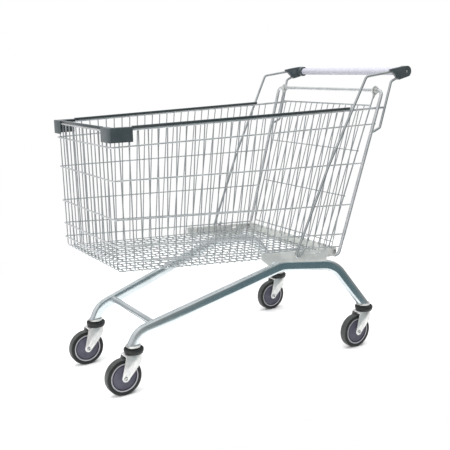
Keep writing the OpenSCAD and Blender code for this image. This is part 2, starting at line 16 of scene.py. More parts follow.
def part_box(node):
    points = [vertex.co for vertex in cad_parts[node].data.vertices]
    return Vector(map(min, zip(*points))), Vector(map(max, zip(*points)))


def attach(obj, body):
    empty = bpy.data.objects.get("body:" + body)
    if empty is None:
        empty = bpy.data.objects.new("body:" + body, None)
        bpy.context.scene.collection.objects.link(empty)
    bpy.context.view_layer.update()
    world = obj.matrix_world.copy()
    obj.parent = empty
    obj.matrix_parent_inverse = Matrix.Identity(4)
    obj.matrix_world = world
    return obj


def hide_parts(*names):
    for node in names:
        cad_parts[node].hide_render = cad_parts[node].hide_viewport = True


MM = 0.001
X_AXIS, Y_AXIS, Z_AXIS = Vector((1, 0, 0)), Vector((0, 1, 0)), Vector((0, 0, 1))

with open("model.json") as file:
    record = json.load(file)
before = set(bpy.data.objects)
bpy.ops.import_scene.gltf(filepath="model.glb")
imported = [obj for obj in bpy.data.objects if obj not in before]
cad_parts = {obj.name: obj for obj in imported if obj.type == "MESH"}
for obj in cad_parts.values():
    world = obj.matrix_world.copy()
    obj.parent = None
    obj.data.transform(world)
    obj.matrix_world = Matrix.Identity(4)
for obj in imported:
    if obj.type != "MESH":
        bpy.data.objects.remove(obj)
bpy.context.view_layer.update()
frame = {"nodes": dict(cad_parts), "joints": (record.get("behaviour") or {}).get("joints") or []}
joints = {joint["name"]: joint for joint in frame["joints"]}


def lerp(a, b, k):
    return a + (b - a) * k


def node_box(node):
    """Lowest and highest corner of a CAD node, in millimetres."""
    low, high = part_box(node)
    return low / MM, high / MM


# ---------------------------------------------------------------- materials


def new_material(name, metallic):
    material = bpy.data.materials.new(name)
    material.use_nodes = True
    nodes = material.node_tree.nodes
    shader = nodes["Principled BSDF"]
    shader.inputs["Metallic"].default_value = metallic
    coordinates = nodes.new("ShaderNodeTexCoord")
    return material, shader, coordinates.outputs["Object"]


def noise(material, where, scale, detail=3.0):
    texture = material.node_tree.nodes.new("ShaderNodeTexNoise")
    texture.inputs["Scale"].default_value = scale
    texture.inputs["Detail"].default_value = detail
    material.node_tree.links.new(where, texture.inputs["Vector"])
    return texture.outputs["Fac"]


def tint(material, shader, fac, dark, light):
    """Colours the surface between two tones by a texture."""
    ramp = material.node_tree.nodes.new("ShaderNodeValToRGB")
    for element, position, tone in zip(ramp.color_ramp.elements, (0.35, 0.65), (dark, light)):
        element.position = position
        element.color = (*tone, 1)
    material.node_tree.links.new(fac, ramp.inputs["Fac"])
    material.node_tree.links.new(ramp.outputs["Color"], shader.inputs["Base Color"])


def roughen(material, shader, fac, smooth, rough):
    span = material.node_tree.nodes.new("ShaderNodeMapRange")
    span.inputs["To Min"].default_value = smooth
    span.inputs["To Max"].default_value = rough
    material.node_tree.links.new(fac, span.inputs["Value"])
    material.node_tree.links.new(span.outputs["Result"], shader.inputs["Roughness"])


def bump(material, shader, fac, strength, depth):
    node = material.node_tree.nodes.new("ShaderNodeBump")
    node.inputs["Strength"].default_value = strength
    node.inputs["Distance"].default_value = depth
    material.node_tree.links.new(fac, node.inputs["Height"])
    material.node_tree.links.new(node.outputs["Normal"], shader.inputs["Normal"])


def zinc(name, dark, light, smooth, rough, cloud=22.0, metallic=1.0):
    """Bright zinc plate: cloudy tone, uneven gloss and a fine drawn grain."""
    material, shader, where = new_material(name, metallic)
    tint(material, shader, noise(material, where, cloud), dark, light)
    roughen(material, shader, noise(material, where, 70.0), smooth, rough)
    bump(material, shader, noise(material, where, 900.0, 2.0), 0.03, 0.0001)
    return material


def moulded(name, dark, light, smooth, rough, grain=0.25, gloss=0.45):
    """Moulded plastic or rubber: near-even colour over a fine grained skin."""
    material, shader, where = new_material(name, 0.0)
    shader.inputs["Specular IOR Level"].default_value = gloss
    tint(material, shader, noise(material, where, 45.0), dark, light)
    roughen(material, shader, noise(material, where, 260.0), smooth, rough)
    bump(material, shader, noise(material, where, 2600.0, 2.0), grain, 0.0001)
    return material


WIRE = zinc("wire_zinc", (0.50, 0.53, 0.54), (0.63, 0.66, 0.67), 0.18, 0.28)
# Zinc of the bands, rim rod and rear hoop: the wire zinc painted lighter and part diffuse, a painted
# highlight for their bright reflections.
BAND_PAINTED_HIGHLIGHT = zinc("band_zinc_painted_highlight", (0.56, 0.58, 0.59), (0.70, 0.72, 0.73), 0.20, 0.30, 22.0, 0.8)
TUBE = zinc("frame_zinc", (0.60, 0.66, 0.68), (0.72, 0.77, 0.79), 0.14, 0.24, 9.0)
PLATE = zinc("plate_zinc", (0.66, 0.68, 0.66), (0.80, 0.81, 0.78), 0.34, 0.46, 30.0, 0.4)
FORK = zinc("fork_zinc", (0.62, 0.63, 0.62), (0.78, 0.78, 0.76), 0.20, 0.30, 40.0, 0.6)
BOLT = zinc("fastener_zinc", (0.38, 0.40, 0.40), (0.58, 0.59, 0.58), 0.20, 0.30, 60.0)
BUSH = zinc("bush_steel", (0.50, 0.52, 0.52), (0.62, 0.64, 0.64), 0.28, 0.40, 60.0)
WELD = zinc("weld_bead", (0.52, 0.54, 0.54), (0.80, 0.80, 0.78), 0.30, 0.55, 120.0)
DARK = moulded("dark_plastic", (0.044, 0.058, 0.064), (0.058, 0.073, 0.079), 0.24, 0.34, 0.1, 0.8)
STRIP = moulded("strip_plastic", (0.024, 0.034, 0.037), (0.034, 0.046, 0.049), 0.18, 0.28, 0.1, 0.8)
RING = moulded("ring_plastic", (0.006, 0.007, 0.007), (0.009, 0.011, 0.011), 0.42, 0.54)
GRIP = moulded("grip_plastic", (0.425, 0.43, 0.485), (0.455, 0.46, 0.52), 0.28, 0.36, 0.05)
HUB = moulded("hub_plastic", (0.062, 0.061, 0.090), (0.080, 0.078, 0.108), 0.46, 0.58)
HUB_RIM = moulded("hub_rim", (0.37, 0.37, 0.40), (0.44, 0.44, 0.46), 0.34, 0.46)
HUB_GROOVE = moulded("hub_groove", (0.030, 0.028, 0.050), (0.045, 0.042, 0.065), 0.5, 0.6)
SIDEWALL = moulded("tyre_rubber", (0.006, 0.007, 0.007), (0.010, 0.011, 0.011), 0.34, 0.46, 0.25, 0.35)
TREAD = moulded("tyre_tread", (0.034, 0.037, 0.036), (0.050, 0.054, 0.052), 0.40, 0.54, 0.5)


# ---------------------------------------------------------------- drawing tools


def fillet(points, radii, step=math.radians(9)):
    """A polyline with its inner corners rounded, as a list of points."""
    path = [points[0]]
    for before, corner, after, radius in zip(points, points[1:], points[2:], radii):
        u, w = (corner - before).normalized(), (after - corner).normalized()
        angle = u.angle(w)
        inward = (w - w.dot(u) * u).normalized()
        start = corner - u * radius * math.tan(angle / 2)
        count = max(3, math.ceil(angle / step))
        for i in range(count + 1):
            turn = angle * i / count
            path.append(start + u * radius * math.sin(turn) + inward * radius * (1 - math.cos(turn)))
    path.append(points[-1])
    return path


def circle(radius, sides=12):
    angles = [2 * math.pi * i / sides for i in range(sides)]
    return [(radius * math.cos(a), radius * math.sin(a)) for a in angles]


def flat_oval(width, height, sides=9):
    """Points round a flat oval: two half circles joined by straight flanks."""
    radius, rise = width / 2, (height - width) / 2
    half = [math.pi * i / sides for i in range(sides + 1)]
    top = [(radius * math.cos(a), rise + radius * math.sin(a)) for a in half]
    return top + [(-x, -y) for x, y in top]


def rounded(outline, radius, steps=4):
    """A closed 2-D outline with every corner rounded."""
    points = []
    count = len(outline)
    for i, corner in enumerate(outline):
        here = Vector(corner)
        u = (here - Vector(outline[i - 1])).normalized()
        w = (Vector(outline[(i + 1) % count]) - here).normalized()
        angle = u.angle(w)
        reach = radius * math.tan(angle / 2)
        inward = (w - w.dot(u) * u).normalized() * radius
        for k in range(steps + 1):
            turn = angle * k / steps
            point = here - u * reach + u * radius * math.sin(turn) + inward * (1 - math.cos(turn))
            points.append((point.x, point.y))
    return points


def sweep(bm, path, ring, up, sizes=None):
    """Runs a closed ring of (across, up) points along a path and closes both ends."""
    rings = []
    for i, point in enumerate(path):
        ahead, behind = path[min(i + 1, len(path) - 1)], path[max(i - 1, 0)]
        along = (ahead - behind).normalized()
        up = (up - up.dot(along) * along).normalized()
        across = along.cross(up)
        size = sizes[i] if sizes else 1.0
        rings.append([bm.verts.new(point + (across * a + up * b) * size) for a, b in ring])
    for low, high in zip(rings, rings[1:]):
        for j in range(len(ring)):
            k = (j + 1) % len(ring)
            bm.faces.new((low[j], low[k], high[k], high[j]))
    bm.faces.new(rings[0][::-1])
    bm.faces.new(rings[-1])


def rod(bm, points, radius, bends=(), sides=12):
    """A bent round wire whose two sheared ends are softly rounded."""
    path = fillet(points, bends)
    start = (path[1] - path[0]).normalized() * radius
    end = (path[-2] - path[-1]).normalized() * radius
    path = [path[0], path[0] + start * 0.25, path[0] + start * 0.7, *path[1:-1],
            path[-1] + end * 0.7, path[-1] + end * 0.25, path[-1]]
    soft = [0.62, 0.9, 1.0]
    sizes = soft + [1.0] * (len(path) - 6) + soft[::-1]
    side = Y_AXIS if abs(start.normalized().y) < 0.9 else Z_AXIS
    sweep(bm, path, circle(radius, sides), side, sizes)


def lathe(bm, profile, centre, axis, sides=64, paint=None):
    """Spins a closed profile of (radius, along) points. paint gives each strip's material."""
    side = axis.orthogonal().normalized()
    other = axis.cross(side)
    rings = []
    for i in range(sides):
        angle = 2 * math.pi * i / sides
        out = side * math.cos(angle) + other * math.sin(angle)
        rings.append([bm.verts.new(centre + out * r + axis * a) for r, a in profile])
    for i in range(sides):
        here, there = rings[i], rings[(i + 1) % sides]
        for j in range(len(profile)):
            k = (j + 1) % len(profile)
            face = bm.faces.new((here[j], here[k], there[k], there[j]))
            if paint:
                face.material_index = paint[j]


def slab(bm, outline, low, high, place, holes=()):
    """Extrudes a 2-D outline, with holes, between two heights along the placement's Z."""
    flat = bmesh.new()
    for loop in (outline, *holes):
        verts = [flat.verts.new((x, y, low)) for x, y in loop]
        for a, b in zip(verts, verts[1:] + verts[:1]):
            flat.edges.new((a, b))
    bmesh.ops.triangle_fill(flat, edges=flat.edges[:], use_beauty=True, use_dissolve=False)
    grown = bmesh.ops.extrude_face_region(flat, geom=flat.faces[:])["geom"]
    lifted = [v for v in grown if isinstance(v, bmesh.types.BMVert)]
    bmesh.ops.translate(flat, verts=lifted, vec=(0, 0, high - low))
    flat.transform(place)
    add(bm, flat)


def add(bm, other, mirrored=False):
    """Copies one drawing into another, mirrored across X if asked, and frees it."""
    if mirrored:
        bmesh.ops.scale(other, vec=(-1, 1, 1), verts=other.verts)
        bmesh.ops.reverse_faces(other, faces=other.faces[:])
    mesh = bpy.data.meshes.new("part")
    other.to_mesh(mesh)
    other.free()
    bm.from_mesh(mesh)
    bpy.data.meshes.remove(mesh)


def axes(x_axis, y_axis, at=(0, 0, 0)):
    """A placement whose local X and Y run along the two given directions."""
    return Matrix.Translation(at) @ Matrix((x_axis, y_axis, x_axis.cross(y_axis))).transposed().to_4x4()


UPRIGHT = axes(Y_AXIS, Z_AXIS)      # a profile of (y, z) extruded along X
LEVEL = Matrix.Identity(4)          # a profile of (x, y) extruded along Z


def finish_mesh(obj):
    """Applies the modifiers of an object and returns it."""
    bpy.context.view_layer.update()
    shaped = bpy.data.meshes.new_from_object(obj.evaluated_get(bpy.context.evaluated_depsgraph_get()))
    obj.modifiers.clear()
    obj.data = shaped
    return obj


def piece(name, bm, materials, body, nodes=(), edge=0.0, sharp=32):
    """Finishes a drawing as a smooth-shaded piece with rounded edges that rides on a body."""
    bmesh.ops.recalc_face_normals(bm, faces=bm.faces[:])
    bmesh.ops.scale(bm, vec=(MM, MM, MM), verts=bm.verts)
    mesh = bpy.data.meshes.new(name)
    bm.to_mesh(mesh)
    bm.free()
    for material in materials:
        mesh.materials.append(material)
    obj = bpy.data.objects.new(name, mesh)
    bpy.context.collection.objects.link(obj)
    if edge:
        bevel = obj.modifiers.new("edges", "BEVEL")
        bevel.width = edge * MM
        bevel.segments = 2
        bevel.limit_method = "ANGLE"
        bevel.angle_limit = math.radians(sharp)
        finish_mesh(obj)
    obj.data.shade_smooth()
    obj.data.set_sharp_from_angle(angle=math.radians(sharp + 8))
    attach(obj, body)
    if nodes:
        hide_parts(*nodes)
    return obj


def on_both_sides(draw):
    """One drawing that holds a left-hand shape and its mirror image."""
    bm = bmesh.new()
    for mirrored in (False, True):
        half = bmesh.new()
        draw(half)
        add(bm, half, mirrored)
    return bm


def on_side(bm, mirrored):
    """The drawing itself, or its mirror image for the right-hand side."""
    if not mirrored:
        return bm
    image = bmesh.new()
    add(image, bm, True)
    return image


def flip(v):
    return Vector((-v.x, v.y, v.z))


# ---------------------------------------------------------------- basket

WIRE_R = 1.9
BAND_R = 2.6
RIM_R = 4.0
TOUCH = 0.05
SIDE_WIRES = 29
FRONT_WIRES = 15

# Left-hand centre lines: the rim rod's two ends, then the side panel's four corners.
rim_front = Vector((223, -558.6, 865))
rim_rear = Vector((289, 484, 890))


def rim_at(y):
    return lerp(rim_front, rim_rear, (y - rim_front.y) / (rim_rear.y - rim_front.y))


inset = RIM_R + WIRE_R + TOUCH
strip_drop = 1.6
side_top_front = rim_front + Vector((-inset, inset, -strip_drop))
side_top_rear = Vector((281.5, 430, rim_at(430).z - strip_drop))
side_low_front = Vector((212, -548, 429))
side_low_rear = Vector((265.8, 278, 375))


def side_at(s, t):
    """A point of the basket's left side: s runs to the rear, t runs down."""
    return lerp(lerp(side_top_front, side_low_front, t), lerp(side_top_rear, side_low_rear, t), s)


def upright_ends(i):
    """Top and foot of one upright, both spaced evenly between the panel's ends."""
    k = i / (SIDE_WIRES - 1)
    return side_at(lerp(0.023, 0.935, k), 0), side_at(lerp(0.033, 0.975, k), 1)


def basket_hoops():
    """Wires that run down one side, under the floor and up the other side."""
    bm = bmesh.new()
    for i in range(SIDE_WIRES):
        top, low = upright_ends(i)
        rod(bm, [top, low, flip(low), flip(top)], WIRE_R, (11, 11), 10)
    piece("basket_hoops", bm, [WIRE], "trolley",
          ("basket_side_left", "basket_side_right", "basket_floor"))


def runner_z(y):
    """Height of the lengthwise floor wires, which lie on the hoops."""
    along = (y - side_low_front.y) / (side_low_rear.y - side_low_front.y)
    return lerp(side_low_front.z, side_low_rear.z, along) + 2 * WIRE_R + TOUCH


def basket_runners():
    """Wires that run down the front and bend under it to the rear of the floor."""
    bm = bmesh.new()
    front_y, rear_y = side_low_front.y, 268
    front_half, rear_half = 207, 255
    for i in range(FRONT_WIRES):
        k = 2 * i / (FRONT_WIRES - 1) - 1
        top = Vector((front_half * k, side_top_front.y, side_top_front.z))
        corner = Vector((front_half * k, front_y, runner_z(front_y)))
        rear = Vector((rear_half * k, rear_y, runner_z(rear_y)))
        rod(bm, [top, corner, rear], WIRE_R, (11,), 10)
    piece("basket_runners", bm, [WIRE], "trolley", ("basket_front",))


BAND_FRONT_Z = (816, 716, 597, 516, 467)
BAND_REAR_Z = (833, 697, 552, 447, 403)
BAND_PAST_HOOP = (26, 6, 6, 6, 6)


def basket_bands():
    """Thicker wires that wrap the two sides and the front in one length each."""
    bm = bmesh.new()
    out = WIRE_R + BAND_R + TOUCH
    for front_z, rear_z, past in zip(BAND_FRONT_Z, BAND_REAR_Z, BAND_PAST_HOOP):
        t_front = (side_top_front.z - front_z) / (side_top_front.z - side_low_front.z)
        t_rear = (side_top_rear.z - rear_z) / (side_top_rear.z - side_low_rear.z)
        corner = side_at(0, t_front) + Vector((out, -out, 0))
        rear = side_at(1, t_rear) + Vector((out, 0, 0))
        rear += (rear - corner).normalized() * past
        rod(bm, [rear, corner, flip(corner), flip(rear)], BAND_R, (8, 8))
    piece("basket_bands", bm, [BAND_PAINTED_HIGHLIGHT], "trolley", ("basket_corners",))


def rim_rod():
    bm = bmesh.new()
    rod(bm, [rim_rear, rim_front, flip(rim_front), flip(rim_rear)], RIM_R, (14, 14), 16)
    piece("rim_rod_bent", bm, [BAND_PAINTED_HIGHLIGHT], "trolley", ("rim_rod",))


def strip_ring():
    """Section of the plastic strip, which sits on the rim rod like a saddle."""
    half, low, top, bore = 5.0, 3.5, 11.0, RIM_R + TOUCH
    outer = rounded([(half, low), (half, top), (-half, top), (-half, low)], 2.0)
    outer = [p for p in outer if p[1] > low + 1.2]
    start = math.asin(low / bore)
    hollow = [math.pi - lerp(start, math.pi - start, i / 10) for i in range(11)]
    hollow = [(bore * math.cos(a), bore * math.sin(a)) for a in hollow]
    return outer + [(-half + 0.5, low)] + hollow + [(half - 0.5, low)]


def rim_strips():
    low, high = node_box("rim_strip_left")
    side = [rim_at(low.y + 0.3), rim_at(high.y - 0.3)]
    reach = node_box("rim_strip_front")[1].x
    end = Vector((reach, rim_front.y, rim_front.z))
    for place, path in (("left", side), ("right", [flip(p) for p in side]), ("front", [flip(end), end])):
        bm = bmesh.new()
        sweep(bm, path, strip_ring(), Z_AXIS)
        piece(f"rim_strip_{place}_moulded", bm, [STRIP], "trolley",
              (f"rim_strip_{place}",), 0.3)


def bumper(side, mirrored):
    """Corner buffer: outer wall, top flange and a comb of ribs under the flange."""
    low, high = node_box("bumper_left")
    wall, depth, inner_x = 2.6, 20.8, low.x
    slope = (rim_rear.x - rim_front.x) / (rim_rear.y - rim_front.y)
    front, rear = low.y, high.y
    corner_x = high.x - slope * (rear - front)

    def along_side(offset, y):
        return corner_x - offset + slope * (y - front)

    bm = bmesh.new()

    def band(offset, z0, z1, inward):
        """L-shaped strip that follows the outside, between two offsets from it."""
        outline = [(inner_x, front + offset), (along_side(offset, front + offset), front + offset),
                   (along_side(offset, rear), rear), (along_side(inward, rear), rear),
                   (along_side(inward, front + inward), front + inward), (inner_x, front + inward)]
        corner = fillet([Vector((*p, 0)) for p in outline[:3]], (7 if offset == 0 else 4.6,))
        inside = fillet([Vector((*p, 0)) for p in outline[3:]], (4.4 if inward < depth else 1.0,))
        slab(bm, [(p.x, p.y) for p in corner + inside], z0, z1, LEVEL)

    band(0, low.z, high.z, wall)
    band(wall - 0.4, high.z - wall, high.z, depth)
    ribs, rib = 7, 1.6
    rib_low, rib_high = high.z - 9.5, high.z - wall + 0.5
    for i in range(ribs):
        x = lerp(inner_x + 3, corner_x - depth - 2, i / (ribs - 1))
        slab(bm, [(x, front + 2), (x + rib, front + 2), (x + rib, front + depth - 1),
                  (x, front + depth - 1)], rib_low, rib_high, LEVEL)
        y = lerp(front + depth + 2, rear - 4, i / (ribs - 1))
        slab(bm, [(along_side(depth - 1, y), y), (along_side(2, y), y), (along_side(2, y), y + rib),
                  (along_side(depth - 1, y), y + rib)], rib_low, rib_high, LEVEL)
    piece(f"bumper_{side}_moulded", on_side(bm, mirrored), [DARK], "trolley",
          (f"bumper_{side}",), 0.7)


# ---------------------------------------------------------------- hoop, stays and handle

HOOP_R = 6.0
STAY_R = 4.5
hinge_y, hinge_z = (c / MM for c in joints["gate_swing"]["pos_m"][1:])


def rear_hoop():
    left = [Vector((279, 262, 374)), Vector((279.8, 283, 377)), Vector((300.4, hinge_y, hinge_z))]
    bm = bmesh.new()
    rod(bm, left + [flip(p) for p in left[::-1]], HOOP_R, (14, 18, 18, 14), 20)
    piece("rear_hoop_bent", bm, [BAND_PAINTED_HIGHLIGHT], "trolley", ("rear_hoop",))


def stays():
    """Rods from the handle caps: two long ones with a hooked foot and two short ones to the hoop."""
    front = [Vector(p) for p in ((302.2, 518, 1017), (298, 379, 1000), (284.2, 226, 700),
                                 (268.2, 77.5, 352.5), (271.5, 136, 420))]
    rear = [Vector(p) for p in ((302.2, 545, 1000.5), (300.6, 495, 981), (295.2, 452, 820),
                                (293.6, 420, 806))]
    for kind, path, bends in (("front", front, (16, 100, 8.6)), ("rear", rear, (12, 10))):
        for side, points in (("left", path), ("right", [flip(p) for p in path])):
            bm = bmesh.new()
            rod(bm, points, STAY_R, bends, 16)
            piece(f"{kind}_stay_{side}_bent", bm, [WIRE], "trolley",
                  (f"{kind}_stay_{side}",))


def handle():
    low, high = node_box("handle_grip")
    centre = (low + high) / 2
    half, radius, bore = high.x, high.z - centre.z, 11.05
    bm = bmesh.new()
    profile = [(bore, -half), (radius - 1.2, -half), (radius - 0.3, -half + 0.4), (radius, -half + 1.4)]
    profile += [(r, -along) for r, along in profile[::-1]]
    lathe(bm, profile, centre, X_AXIS, 48)
    piece("grip_sleeve", bm, [GRIP], "trolley", ("handle_grip",))


def handle_cap(side, mirrored):
    """End cap: a collar round the grip and a thinner wing with a slanted mouth for the stays."""
    low, high = node_box("handle_cap_left")
    radius, wing_x = 19.5, 295.5
    centre = Vector((high.y - radius, high.z - radius))
    top, bottom = (484.5, 1022), (528, 985.5)
    arc = []
    for i in range(17):
        angle = math.radians(lerp(-62, 97, i / 16))
        arc.append((centre.x + radius * math.cos(angle), centre.y + radius * math.sin(angle)))
    crown = [(lerp(arc[-1][0], top[0], k), lerp(arc[-1][1], top[1], k) + 1.1 * math.sin(math.pi * k))
             for k in (0.25, 0.5, 0.75)]
    recess = [(centre.x + x, centre.y + y) for x, y in circle(6.0, 24)]
    mouth = (lerp(top[0], bottom[0], 0.5) + 0.8, lerp(top[1], bottom[1], 0.5) + 0.6)
    outline = arc + crown + [top, mouth, bottom]
    bm = bmesh.new()
    slab(bm, outline, wing_x, high.x - 2.4, UPRIGHT)
    slab(bm, outline, high.x - 2.6, high.x, UPRIGHT, [recess])
    profile = [(13.6, low.x + 2.5), (15.0, low.x + 0.5), (17.5, low.x), (18.8, low.x + 0.8),
               (radius, low.x + 3), (radius, high.x - 4), (13.6, high.x - 4)]
    lathe(bm, profile, Vector((0, centre.x, centre.y)), X_AXIS, 56)
    piece(f"handle_cap_{side}_moulded", on_side(bm, mirrored), [DARK], "trolley",
          (f"handle_cap_{side}",), 0.7, 40)


def handle_screws():
    """Dished washer and pan head in the recess of each cap."""
    low, high = node_box("handle_screws")
    centre = (low + high) / 2
    at = Vector((high.x, centre.y, centre.z))

    def draw(bm):
        profile = [(0.9, -3.0), (5.6, -3.0), (5.6, -1.7), (4.6, -0.9), (4.2, -0.5), (3.2, -0.1),
                   (1.9, 0.0), (1.6, -1.0), (0.9, -1.1)]
        lathe(bm, profile, at, X_AXIS, 32)
        lathe(bm, [(0.02, -2.0), (0.95, -2.0), (0.95, -1.2), (0.02, -1.2)], at, X_AXIS, 16)

    piece("handle_screw_heads", on_both_sides(draw), [BOLT], "trolley",
          ("handle_screws",))


def hinge_caps():
    """Caps on the hoop's top bar, outside the gate's hinge eyes."""
    low, high = node_box("hinge_caps")
    radius = (high.z - low.z) / 2
    start, end = high.x - 14, high.x

    def draw(bm):
        profile = [(HOOP_R + TOUCH, start), (radius - 1.5, start), (radius, start + 1.2),
                   (radius, start + 5), (radius - 0.8, start + 8), (radius - 2.4, end - 2),
                   (radius - 3.6, end), (HOOP_R + TOUCH, end)]
        lathe(bm, profile, Vector((0, hinge_y, hinge_z)), X_AXIS, 40)

    piece("hinge_caps_moulded", on_both_sides(draw), [BOLT], "trolley", ("hinge_caps",))


# ---------------------------------------------------------------- gate

LEAN = math.radians(17.85)
GATE_TOP, GATE_LOW = 55.7, 586.0
GATE_HALF_TOP, GATE_HALF_LOW = 263.0, 235.0
GATE_BARS = 15
GATE_CROSS_WIRES = (221.7, 389.8, 561.0)


def gate_half(down):
    """Half the gate's width at a distance down from the hinge."""
    return lerp(GATE_HALF_TOP, GATE_HALF_LOW, (down - GATE_TOP) / (GATE_LOW - GATE_TOP))


def on_gate(x, back, down):
    """A point of the closed gate: back is off its plane to the rear, down is from the hinge."""
    return Vector((x, hinge_y + back * math.cos(LEAN) - down * math.sin(LEAN),
                   hinge_z - back * math.sin(LEAN) - down * math.cos(LEAN)))


def gate():
    """Wire grille between two thicker side wires, which hang from the hinge eyes."""
    side_r, top_r = 2.6, 3.0
    bm = bmesh.new()
    reach = gate_half(GATE_TOP) - side_r - TOUCH
    rod(bm, [on_gate(-reach, 0, GATE_TOP), on_gate(reach, 0, GATE_TOP)], top_r)
    for i in range(1, GATE_BARS + 1):
        k = 2 * i / (GATE_BARS + 1) - 1
        rod(bm, [on_gate(k * gate_half(GATE_TOP), 0, GATE_TOP + top_r - 0.6),
                 on_gate(k * gate_half(GATE_LOW), 0, GATE_LOW)], WIRE_R, (), 10)
    back = 2 * WIRE_R + TOUCH
    for down in GATE_CROSS_WIRES:
        half = gate_half(down) + side_r
        rod(bm, [on_gate(-half, back, down), on_gate(half, back, down)], WIRE_R, (), 10)
    piece("gate_wires", bm, [WIRE], "gate", ("gate_grille",))

    def draw_rod(bm):
        back = WIRE_R - side_r
        rod(bm, [on_gate(gate_half(30), back, 22), on_gate(gate_half(GATE_LOW), back, GATE_LOW)], side_r)

    piece("gate_side_wires", on_both_sides(draw_rod), [WIRE], "gate", ("gate_side_rods",))

    outer = node_box("gate_hinge_plates")[1].x
    inner = outer - 3

    def draw_eye(bm):
        eye, tail_half, tail_low, neck = 16.0, 4.5, 30.0, math.radians(28)
        arc = [lerp(-math.pi / 2 + neck, 1.5 * math.pi - neck, i / 36) for i in range(37)]
        outline = [(eye * math.cos(a), eye * math.sin(a)) for a in arc]
        outline += [(-tail_half, -tail_low + 3), (-tail_half + 2, -tail_low),
                    (tail_half - 2, -tail_low), (tail_half, -tail_low + 3)]
        back_axis = on_gate(0, 1, 0) - on_gate(0, 0, 0)
        up_axis = on_gate(0, 0, 0) - on_gate(0, 0, 1)
        place = axes(back_axis, up_axis, (0, hinge_y, hinge_z))
        slab(bm, outline, inner, outer, place, [circle(HOOP_R + TOUCH, 40)])

    piece("gate_hinge_eyes", on_both_sides(draw_eye), [PLATE], "gate",
          ("gate_hinge_plates",), 0.8)


# ---------------------------------------------------------------- frame tubes and plates

TUBE_W, TUBE_H = 22.0, 40.0
front_swivel = Vector(joints["swivel_front_left"]["pos_m"]) / MM
rear_swivel = Vector(joints["swivel_rear_left"]["pos_m"]) / MM
tube_dx, wheelbase = rear_swivel.x - front_swivel.x, rear_swivel.y - front_swivel.y
tube_run = math.hypot(tube_dx, wheelbase)
tube_turn = math.atan2(tube_dx, wheelbase)
tube_along = Vector((math.sin(tube_turn), math.cos(tube_turn), 0))
TUBE_END_Z = 162.0

# Corners of the tube's centre line as (run back from the front castor, height), and bend radii.
TUBE_RUNS = ((-9, 150), (20.5, 203), (558, 356), (777, 330), (tube_run + 5, 150))
TUBE_BENDS = (60, 100, 110)


def tube_point(run, height):
    return Vector((front_swivel.x, front_swivel.y, 0)) + tube_along * run + Z_AXIS * height


def tube_x(y):
    return front_swivel.x + tube_dx * (y - front_swivel.y) / wheelbase


def side_tube(side, mirrored):
    """Bent flat-oval tube, cut level where it stands on its two castor sockets."""
    corners = [tube_point(*p) for p in TUBE_RUNS]
    bm = bmesh.new()
    path = fillet(corners, TUBE_BENDS, math.radians(4))
    sweep(bm, path, flat_oval(TUBE_W, TUBE_H), Z_AXIS)
    cut = bmesh.ops.bisect_plane(bm, geom=bm.verts[:] + bm.edges[:] + bm.faces[:],
                                 plane_co=(0, 0, TUBE_END_Z), plane_no=(0, 0, -1), clear_outer=True)
    rim = [e for e in cut["geom_cut"] if isinstance(e, bmesh.types.BMEdge)]
    bmesh.ops.holes_fill(bm, edges=rim)
    piece(f"side_tube_{side}", on_side(bm, mirrored), [TUBE], "trolley",
          (f"chassis_tube_{side}",), 0, 50)


def socket_welds():
    """Flared, uneven weld bead round the foot of each tube, on the socket disc."""

    def draw(bm):
        for (run0, z0), (run1, z1) in (TUBE_RUNS[:2], TUBE_RUNS[:-3:-1]):
            lean = math.atan2(z1 - z0, abs(run1 - run0))
            run = lerp(run0, run1, (TUBE_END_Z - z0) / (z1 - z0))
            across = Vector((math.cos(tube_turn), -math.sin(tube_turn), 0))
            outline = flat_oval(TUBE_W + 1.2, TUBE_H / math.sin(lean) + 1.2, 14)
            loop = []
            for i, (a, b) in enumerate(outline):
                wave = 0.5 * math.sin(2.3 * i) + 0.3 * math.sin(5.1 * i)
                centre = tube_point(run, TUBE_END_Z + 0.8 + wave)
                loop.append(centre + across * a * (1 + 0.02 * wave) + tube_along * b)
            ring_sweep(bm, loop, [(2.6 * x, 2.3 * y) for x, y in circle(1, 8)])

    piece("socket_welds", on_both_sides(draw), [WELD], "trolley")


def ring_sweep(bm, loop, ring):
    """Runs a ring round a closed loop of points that lie about level."""
    rings = []
    for i, point in enumerate(loop):
        along = (loop[(i + 1) % len(loop)] - loop[i - 1]).normalized()
        across = along.cross(Z_AXIS).normalized()
        rings.append([bm.verts.new(point + across * a + Z_AXIS * b) for a, b in ring])
    for i in range(len(loop)):
        here, there = rings[i - 1], rings[i]
        for j in range(len(ring)):
            k = (j + 1) % len(ring)
            bm.faces.new((here[j], here[k], there[k], there[j]))


def sockets():
    """Turned discs, one at the foot of each tube, with the king bolt's hole."""
    bm = bmesh.new()
    low, high = node_box("caster_sockets")
    radius, bore = 23.0, 6.05
    for swivel in (front_swivel, rear_swivel, flip(front_swivel), flip(rear_swivel)):
        profile = [(bore, low.z), (radius - 8, low.z), (radius - 6, low.z + 1.6),
                   (radius - 1.4, low.z + 2.2), (radius, low.z + 3.4), (radius, high.z - 1.6),
                   (radius - 1.4, high.z), (bore, high.z)]
        lathe(bm, profile, Vector((swivel.x, swivel.y, 0)), Z_AXIS, 56)
    piece("caster_socket_discs", bm, [PLATE], "trolley", ("caster_sockets",))


def cross_tube():
    """Round tube between the side tubes, with a weld collar at each end."""
    low, high = node_box("front_cross_tube")
    centre = (low + high) / 2
    radius = (high.z - low.z) / 2
    end = Vector((high.x - 1.0, centre.y, centre.z))
    bm = bmesh.new()
    sweep(bm, [flip(end), end], circle(radius, 28), Z_AXIS)
    face = tube_x(centre.y) - TUBE_W / 2
    collar = [(radius - 0.4, -2.6), (radius + 0.6, -2.6), (radius + 1.4, -1.2), (radius + 1.2, 0.6),
              (radius - 0.4, 0.6)]
    for sign in (-1, 1):
        lathe(bm, collar, Vector((sign * (face - 0.4), centre.y, centre.z)), X_AXIS * sign, 28)
    piece("front_cross_tube_welded", bm, [TUBE], "trolley", ("front_cross_tube",))


